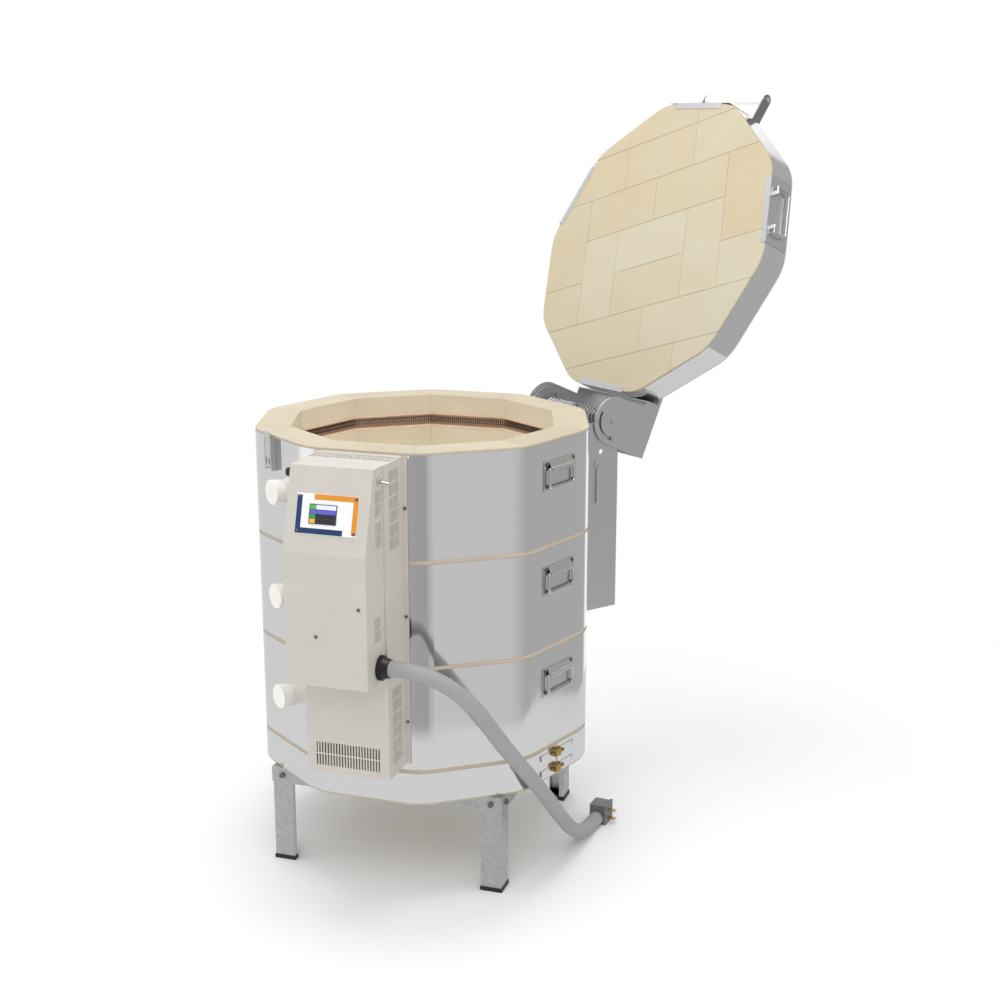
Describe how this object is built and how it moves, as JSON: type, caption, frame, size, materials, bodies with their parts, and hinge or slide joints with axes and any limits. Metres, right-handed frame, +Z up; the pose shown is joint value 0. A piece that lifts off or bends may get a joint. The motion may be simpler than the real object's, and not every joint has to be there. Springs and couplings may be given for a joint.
{
  "type": "top-loading electric kiln",
  "caption": "Ten-sided sectional top-loading annealing kiln on a stand, with hinged brick lid, peephole plugs, carrying bails, side control box and captive cord.",
  "frame": {"origin": "on the floor, on the upright axis through the middle of the chamber", "axes": "+Z up, +Y to the back where the lid hinge is, +X to the right seen from the front; the lid stands open"},
  "size_m": [0.8712, 1.4393, 1.6916],
  "materials": {
    "galvanised_steel": "hot-dip galvanised sheet, soft spangle",
    "foot_plastic": "moulded black polyethylene caps",
    "fire_brick": "porous soft insulating fire brick, cut faces",
    "mirror_stainless": "bright annealed stainless sheet",
    "bright_steel": "polished zinc-plated steel",
    "clamp_brass": "machined brass",
    "element_ceramic": "fired alumina channel, unglazed",
    "element_wire": "oxidised resistance wire",
    "white_ceramic": "unglazed white refractory",
    "grip_white": "moulded white plastic tube",
    "box_enamel": "powder-coated warm grey sheet",
    "panel_print": null,
    "screen_glass": "smooth dark display",
    "black_nylon": "moulded black nylon",
    "cord_jacket": "smooth grey vinyl jacket",
    "plug_plastic": "moulded grey plug",
    "relay_black": "moulded relay case",
    "board_green": "coated circuit board"
  },
  "bodies": {
    "kiln": {"stand_legs": "galvanised_steel", "stand_bars": "galvanised_steel", "leg_feet": "foot_plastic", "floor_slab": "fire_brick", "floor_band": "mirror_stainless", "clamp_straps": "mirror_stainless", "clamp_screws": "clamp_brass", "ring_bricks_bottom": "fire_brick", "ring_bricks_middle": "fire_brick", "ring_bricks_top": "fire_brick", "jacket_bottom": "mirror_stainless", "jacket_middle": "mirror_stainless", "jacket_top": "mirror_stainless", "element_channels_bottom": "element_ceramic", "element_channels_middle": "element_ceramic", "element_channels_top": "element_ceramic", "elements_bottom": "element_wire", "elements_middle": "element_wire", "elements_top": "element_wire", "thermocouples": "white_ceramic", "handle_plates": "bright_steel", "latch_base": "galvanised_steel", "hinge_base": "galvanised_steel", "hinge_axle": "bright_steel", "hinge_springs": "bright_steel", "element_box": "box_enamel", "control_box": "box_enamel", "faceplate": "panel_print", "touch_screen": "screen_glass", "toggle_bushing": "bright_steel", "cord_gland": "black_nylon", "power_cord": "cord_jacket", "power_plug": "plug_plastic", "plug_blades": "clamp_brass", "fasteners": "bright_steel", "terminal_blocks": "white_ceramic", "relays": "relay_black", "control_board": "board_green"},
    "lid": {"hinge_lid_plate": "galvanised_steel", "lid_slab": "fire_brick", "lid_band": "mirror_stainless", "lid_brackets": "galvanised_steel", "lid_handle_arms": "galvanised_steel", "lid_handle_grip": "grip_white", "lid_screws": "bright_steel"},
    "bail_right_bottom": {"bail_right_bottom": "bright_steel"},
    "bail_right_middle": {"bail_right_middle": "bright_steel"},
    "bail_right_top": {"bail_right_top": "bright_steel"},
    "bail_left_bottom": {"bail_left_bottom": "bright_steel"},
    "bail_left_middle": {"bail_left_middle": "bright_steel"},
    "bail_left_top": {"bail_left_top": "bright_steel"},
    "lid_bail_right": {"lid_bail_right": "bright_steel"},
    "lid_bail_left": {"lid_bail_left": "bright_steel"},
    "plug_bottom": {"plug_bottom": "white_ceramic"},
    "plug_middle": {"plug_middle": "white_ceramic"},
    "plug_top": {"plug_top": "white_ceramic"},
    "latch_arm": {"latch_arm": "galvanised_steel"},
    "lock_pin": {"lock_pin": "bright_steel"},
    "toggle_lever": {"toggle_lever": "bright_steel"},
    "fuse_cap": {"fuse_cap": "black_nylon"}
  },
  "joints": [
    {"name": "lid_hinge", "type": "hinge", "parent": "kiln", "child": "lid", "pos_m": [0, 0.442, 0.949], "axis": [1, 0, 0], "range_deg": [0, 114]},
    {"name": "bail_right_bottom_swing", "type": "hinge", "parent": "kiln", "child": "bail_right_bottom", "pos_m": [0.35474, 0.11526, 0.4668], "axis": [0.309, -0.9511, 0], "range_deg": [0, 95]},
    {"name": "bail_right_middle_swing", "type": "hinge", "parent": "kiln", "child": "bail_right_middle", "pos_m": [0.35474, 0.11526, 0.6954], "axis": [0.309, -0.9511, 0], "range_deg": [0, 95]},
    {"name": "bail_right_top_swing", "type": "hinge", "parent": "kiln", "child": "bail_right_top", "pos_m": [0.35474, 0.11526, 0.924], "axis": [0.309, -0.9511, 0], "range_deg": [0, 95]},
    {"name": "bail_left_bottom_swing", "type": "hinge", "parent": "kiln", "child": "bail_left_bottom", "pos_m": [-0.35474, -0.11526, 0.4668], "axis": [-0.309, 0.9511, 0], "range_deg": [0, 95]},
    {"name": "bail_left_middle_swing", "type": "hinge", "parent": "kiln", "child": "bail_left_middle", "pos_m": [-0.35474, -0.11526, 0.6954], "axis": [-0.309, 0.9511, 0], "range_deg": [0, 95]},
    {"name": "bail_left_top_swing", "type": "hinge", "parent": "kiln", "child": "bail_left_top", "pos_m": [-0.35474, -0.11526, 0.924], "axis": [-0.309, 0.9511, 0], "range_deg": [0, 95]},
    {"name": "lid_bail_right_swing", "type": "hinge", "parent": "lid", "child": "lid_bail_right", "pos_m": [0.35589, 0.71878, 1.43618], "axis": [0.309, -0.3868, -0.8688], "range_deg": [0, 95]},
    {"name": "lid_bail_left_swing", "type": "hinge", "parent": "lid", "child": "lid_bail_left", "pos_m": [-0.35589, 0.71878, 1.43618], "axis": [0.309, 0.3868, 0.8688], "range_deg": [0, 95]},
    {"name": "plug_bottom_pull", "type": "slide", "parent": "kiln", "child": "plug_bottom", "axis": [0, -1, 0], "range_m": [0, 0.11]},
    {"name": "plug_middle_pull", "type": "slide", "parent": "kiln", "child": "plug_middle", "axis": [0, -1, 0], "range_m": [0, 0.11]},
    {"name": "plug_top_pull", "type": "slide", "parent": "kiln", "child": "plug_top", "axis": [0, -1, 0], "range_m": [0, 0.11]},
    {"name": "latch_arm_swing", "type": "hinge", "parent": "kiln", "child": "latch_arm", "pos_m": [-0.03, -0.372, 0.957], "axis": [1, 0, 0], "range_deg": [-8, 8]},
    {"name": "lock_pin_swing", "type": "hinge", "parent": "kiln", "child": "lock_pin", "pos_m": [0.13, 0.398, 0.853], "axis": [1, 0, 0], "range_deg": [-14, 60]},
    {"name": "toggle_flip", "type": "hinge", "parent": "kiln", "child": "toggle_lever", "pos_m": [0.35653, -0.33675, 0.953], "axis": [0.5878, -0.809, 0], "range_deg": [0, 24]},
    {"name": "fuse_cap_twist", "type": "hinge", "parent": "kiln", "child": "fuse_cap", "pos_m": [0.21958, -0.45109, 0.962], "axis": [-0.809, -0.5878, 0], "range_deg": [-60, 0]}
  ]
}
